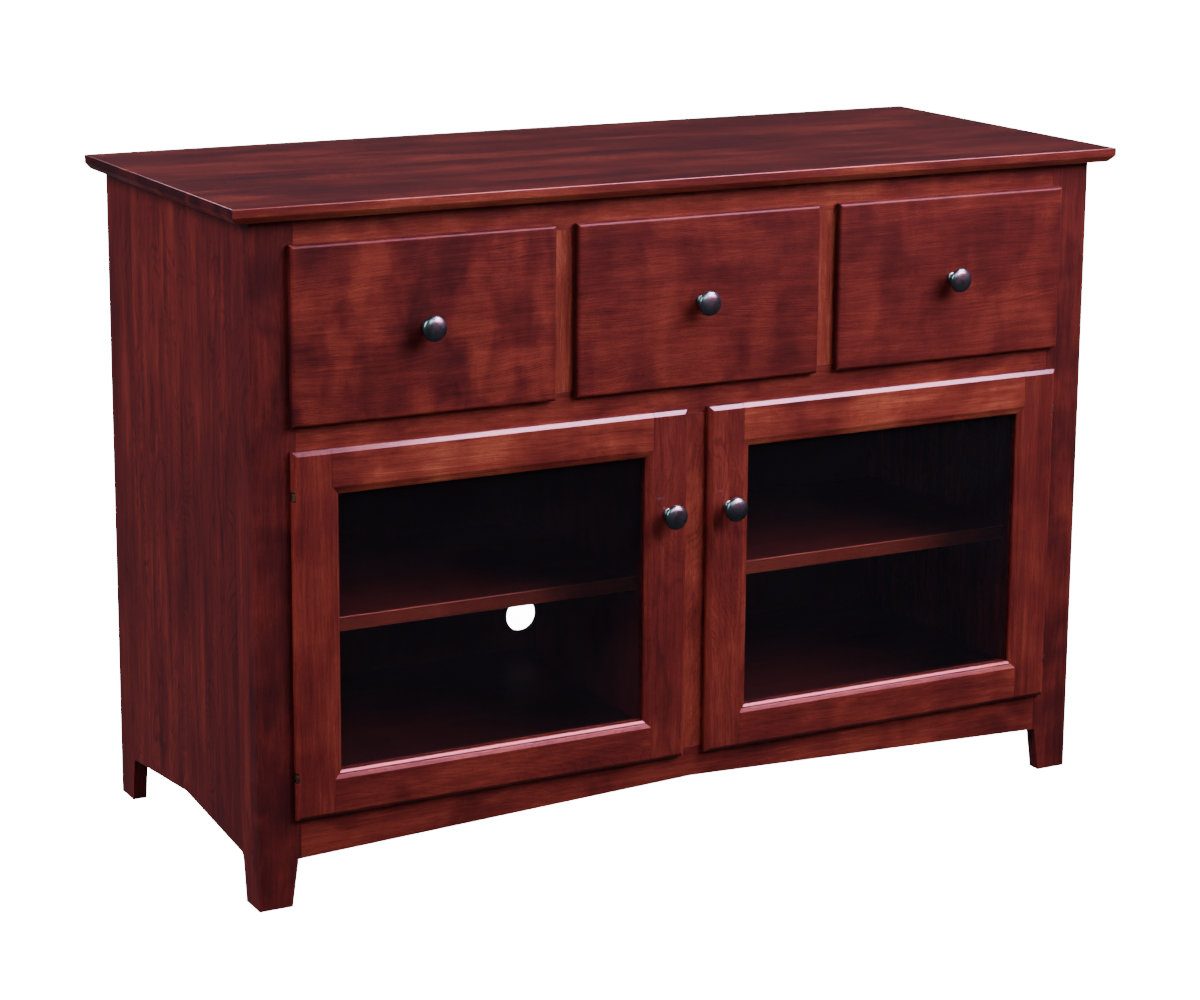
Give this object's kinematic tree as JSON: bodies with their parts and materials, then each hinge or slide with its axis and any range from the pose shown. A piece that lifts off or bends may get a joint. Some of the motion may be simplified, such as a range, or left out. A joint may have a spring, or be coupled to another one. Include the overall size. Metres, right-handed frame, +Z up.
{
  "type": "television console cabinet",
  "caption": "Free-standing television cabinet: overhanging top, lipped drawers above hinged glazed doors, shelves inside, tapered feet and a rear cable hole.",
  "frame": {"origin": "on the floor, under the middle of the bounding box, which the knobs and the top's overhang are part of", "axes": "+X along the cabinet, to the right when seen from the front; +Y to the back; +Z up"},
  "size_m": [1.25, 0.5298, 0.862],
  "materials": {
    "cherry": "satin",
    "cherry_drawer_fronts": "satin",
    "cherry_inside": "satin",
    "drawer_maple": "satin",
    "glass": "gloss",
    "pewter": "brushed",
    "nickel": "satin"
  },
  "bodies": {
    "cabinet": {"top_panel": "cherry", "side_panel_left": "cherry", "side_panel_right": "cherry", "front_stile_left": "cherry", "front_stile_right": "cherry", "top_rail": "cherry", "middle_rail": "cherry", "bottom_rail": "cherry", "centre_stile": "cherry", "drawer_stile_left": "cherry", "drawer_stile_right": "cherry", "centre_partition": "cherry_inside", "cabinet_floor": "cherry_inside", "dust_panel": "cherry_inside", "back_panel": "cherry_inside", "shelf_left": "cherry_inside", "shelf_right": "cherry_inside", "drawer_left_guide": "drawer_maple", "drawer_centre_guide": "drawer_maple", "drawer_right_guide": "drawer_maple", "hinge_left_lower_frame_leaf": "nickel", "hinge_left_upper_frame_leaf": "nickel", "hinge_right_lower_frame_leaf": "nickel", "hinge_right_upper_frame_leaf": "nickel"},
    "door_left": {"door_left_hinge_stile": "cherry", "door_left_knob_stile": "cherry", "door_left_top_rail": "cherry", "door_left_bottom_rail": "cherry", "door_left_glass": "glass", "door_left_glass_stop": "cherry", "door_left_knob": "pewter", "hinge_left_lower_door_leaf": "nickel", "hinge_left_upper_door_leaf": "nickel"},
    "door_right": {"door_right_hinge_stile": "cherry", "door_right_knob_stile": "cherry", "door_right_top_rail": "cherry", "door_right_bottom_rail": "cherry", "door_right_glass": "glass", "door_right_glass_stop": "cherry", "door_right_knob": "pewter", "hinge_right_lower_door_leaf": "nickel", "hinge_right_upper_door_leaf": "nickel"},
    "drawer_left": {"drawer_left_front": "cherry_drawer_fronts", "drawer_left_side_left": "drawer_maple", "drawer_left_side_right": "drawer_maple", "drawer_left_back": "drawer_maple", "drawer_left_bottom": "drawer_maple", "drawer_left_knob": "pewter"},
    "drawer_centre": {"drawer_centre_front": "cherry_drawer_fronts", "drawer_centre_side_left": "drawer_maple", "drawer_centre_side_right": "drawer_maple", "drawer_centre_back": "drawer_maple", "drawer_centre_bottom": "drawer_maple", "drawer_centre_knob": "pewter"},
    "drawer_right": {"drawer_right_front": "cherry_drawer_fronts", "drawer_right_side_left": "drawer_maple", "drawer_right_side_right": "drawer_maple", "drawer_right_back": "drawer_maple", "drawer_right_bottom": "drawer_maple", "drawer_right_knob": "pewter"}
  },
  "joints": [
    {"name": "door_left_hinge", "type": "hinge", "parent": "cabinet", "child": "door_left", "pos_m": [-0.5475, -0.23275, 0.111], "axis": [0, 0, -1], "range_deg": [0, 110]},
    {"name": "door_right_hinge", "type": "hinge", "parent": "cabinet", "child": "door_right", "pos_m": [0.5475, -0.23275, 0.111], "axis": [0, 0, 1], "range_deg": [0, 110]},
    {"name": "drawer_left_slide", "type": "slide", "parent": "cabinet", "child": "drawer_left", "axis": [0, -1, 0], "range_m": [0, 0.32]},
    {"name": "drawer_centre_slide", "type": "slide", "parent": "cabinet", "child": "drawer_centre", "axis": [0, -1, 0], "range_m": [0, 0.32]},
    {"name": "drawer_right_slide", "type": "slide", "parent": "cabinet", "child": "drawer_right", "axis": [0, -1, 0], "range_m": [0, 0.32]}
  ]
}
